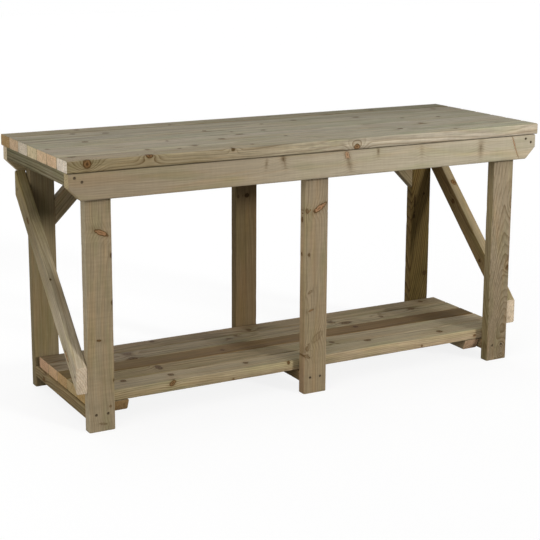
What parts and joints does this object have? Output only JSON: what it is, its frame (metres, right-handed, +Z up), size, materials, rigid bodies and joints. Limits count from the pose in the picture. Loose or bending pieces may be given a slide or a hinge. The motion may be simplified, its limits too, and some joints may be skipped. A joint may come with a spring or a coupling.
{
  "type": "workbench",
  "caption": "Treated softwood workbench: plank top on aprons and boarded legs, diagonal end braces, rear knee braces and a drop-in plank shelf near the floor.",
  "frame": {"origin": "on the floor under the middle of the bench", "axes": "+X along the bench to the right as seen from the front, +Y towards the rear, +Z up"},
  "size_m": [1.8, 0.635, 0.888],
  "materials": {
    "top_boards": "planed pressure-treated softwood, weathered grey-green",
    "frame_timber": "planed pressure-treated softwood, green-brown",
    "shelf_timber": "planed pressure-treated softwood, green-brown",
    "heartwood_board": "planed softwood with dark heartwood",
    "screws": "dark coated steel"
  },
  "bodies": {
    "root": {"top_board_1": "top_boards", "top_board_2": "top_boards", "top_board_3": "top_boards", "top_board_4": "top_boards", "top_board_5": "top_boards", "top_board_6": "top_boards", "top_board_7": "top_boards", "front_apron": "frame_timber", "rear_apron": "frame_timber", "left_end_rail": "frame_timber", "right_end_rail": "frame_timber", "middle_top_rail": "frame_timber", "front_left_leg": "frame_timber", "front_middle_leg": "frame_timber", "front_right_leg": "frame_timber", "rear_left_leg": "frame_timber", "rear_middle_leg": "frame_timber", "rear_right_leg": "frame_timber", "left_bearer": "frame_timber", "middle_bearer": "frame_timber", "right_bearer": "frame_timber", "left_end_brace": "frame_timber", "right_end_brace": "frame_timber", "rear_left_knee_brace": "frame_timber", "rear_right_knee_brace": "frame_timber", "shelf_board_1": "shelf_timber", "shelf_board_2": "shelf_timber", "shelf_board_3": "heartwood_board", "shelf_board_4": "shelf_timber", "shelf_board_5": "shelf_timber", "left_shelf_batten": "shelf_timber", "right_shelf_batten": "shelf_timber", "front_left_apron_screw_1": "screws", "front_left_apron_screw_2": "screws", "front_right_apron_screw_1": "screws", "front_right_apron_screw_2": "screws", "rear_left_apron_screw_1": "screws", "rear_left_apron_screw_2": "screws", "rear_right_apron_screw_1": "screws", "rear_right_apron_screw_2": "screws", "front_left_bearer_screw_1": "screws", "front_left_bearer_screw_2": "screws", "front_middle_bearer_screw_1": "screws", "front_middle_bearer_screw_2": "screws", "front_right_bearer_screw_1": "screws", "front_right_bearer_screw_2": "screws", "rear_left_bearer_screw_1": "screws", "rear_left_bearer_screw_2": "screws", "rear_middle_bearer_screw_1": "screws", "rear_middle_bearer_screw_2": "screws", "rear_right_bearer_screw_1": "screws", "rear_right_bearer_screw_2": "screws", "left_brace_foot_screw": "screws", "left_brace_head_screw": "screws", "right_brace_foot_screw": "screws", "right_brace_head_screw": "screws", "rear_left_knee_head_screw": "screws", "rear_left_knee_foot_screw": "screws", "rear_right_knee_head_screw": "screws", "rear_right_knee_foot_screw": "screws"}
  },
  "joints": []
}
